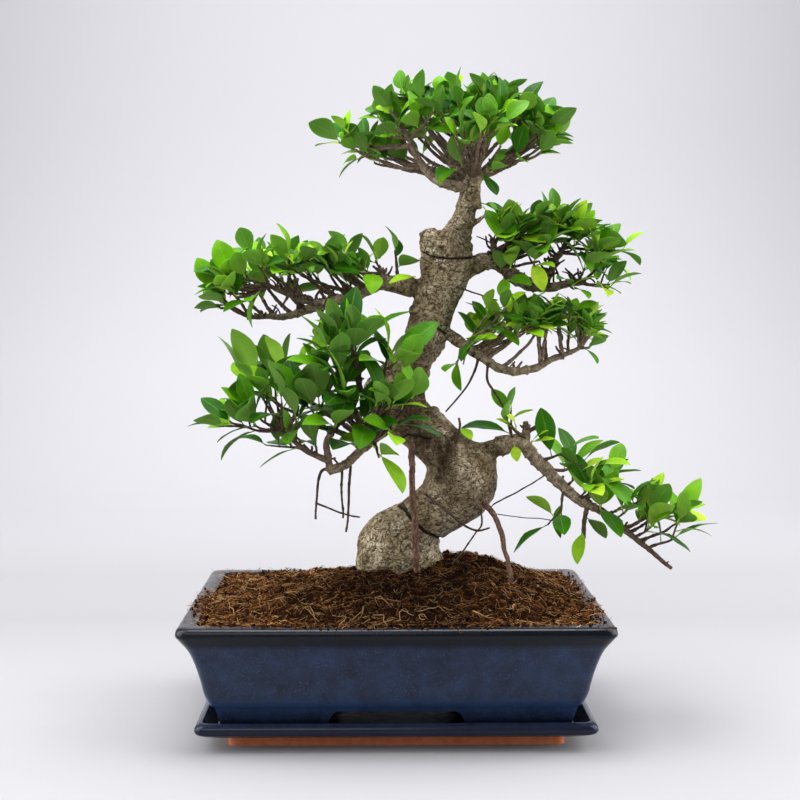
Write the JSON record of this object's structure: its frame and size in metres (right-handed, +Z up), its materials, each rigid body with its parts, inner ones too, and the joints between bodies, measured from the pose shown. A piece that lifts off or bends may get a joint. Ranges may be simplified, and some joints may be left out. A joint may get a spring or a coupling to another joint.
{
  "type": "potted bonsai tree",
  "caption": "Informal upright bonsai fig with a winding trunk, leafy pads and a cascading branch, in a glazed rectangular pot on its saucer.",
  "frame": {"origin": "middle of the saucer's underside, on the surface that the object stands on", "axes": "+Z up, +X to the right as seen from the front of the tree, +Y away from the viewer"},
  "size_m": [0.5137, 0.3, 0.6357],
  "materials": {
    "glaze": "glossy dark blue glaze",
    "mesh_plastic": "matte",
    "soil": "rough fibrous",
    "bark": "rough",
    "foliage": "waxy satin"
  },
  "bodies": {
    "root": {"saucer": "glaze", "pot": "glaze", "drain_screen_left": "mesh_plastic", "drain_screen_right": "mesh_plastic", "soil": "soil", "trunk": "bark", "branch_crown": "foliage", "branch_upper_left": "foliage", "branch_lower_left": "foliage", "branch_right_upper": "foliage", "branch_right_lower": "foliage", "branch_cascade": "foliage"}
  },
  "joints": []
}
